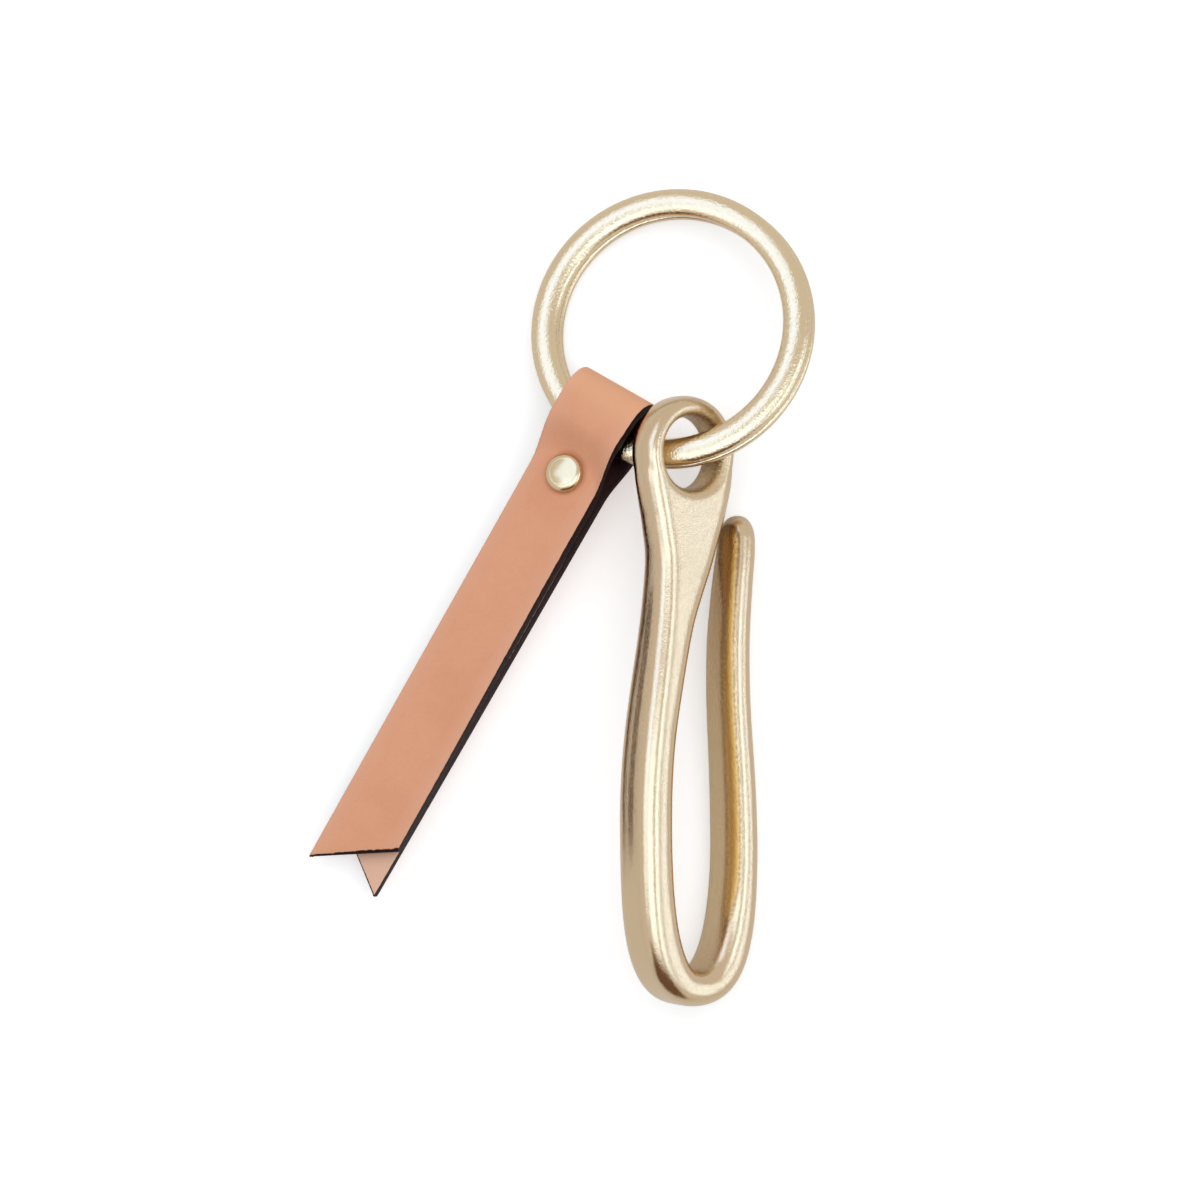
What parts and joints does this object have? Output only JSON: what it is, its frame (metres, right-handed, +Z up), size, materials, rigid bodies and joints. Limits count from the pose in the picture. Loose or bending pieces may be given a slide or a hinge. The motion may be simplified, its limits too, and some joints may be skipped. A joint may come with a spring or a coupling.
{
  "type": "fish hook keychain",
  "caption": "Cast brass fish hook keychain with a round eye, threaded on a flat wire split ring beside a folded leather strap clamped by a double cap rivet.",
  "frame": {"origin": "middle of the footprint on the table, the keychain lying flat", "axes": "+Y from the hook's bend to the ring, along the hook; +X from the strap's tail to the hook; +Z up from the table, towards the face that shows the rivet's front cap"},
  "size_m": [0.0634, 0.1022, 0.0162],
  "materials": {
    "cast_brass": "cast and tumbled to a satin sheen, unlacquered",
    "wire_brass": "polished flat wire with worn faces",
    "rivet_brass": "satin pressed sheet",
    "leather": "vegetable tanned, smooth, with dark burnished edges"
  },
  "bodies": {
    "ring_body": {"split_ring": "wire_brass"},
    "hook_body": {"hook": "cast_brass"},
    "strap_body": {"strap": "leather", "rivet_front_cap": "rivet_brass", "rivet_socket": "rivet_brass", "rivet_post": "rivet_brass", "rivet_back_cap": "rivet_brass"}
  },
  "joints": [
    {"name": "hook_swing", "type": "hinge", "parent": "ring_body", "child": "hook_body", "pos_m": [0.0152, 0.01882, 0.00959], "axis": [0.9708, 0.1238, 0.2056], "range_deg": [-3, 118]},
    {"name": "strap_slide", "type": "hinge", "parent": "ring_body", "child": "strap_body", "pos_m": [0.01399, 0.03345, 0.00651], "axis": [-0.226, 0.183, 0.9568], "range_deg": [-255, 0]}
  ]
}
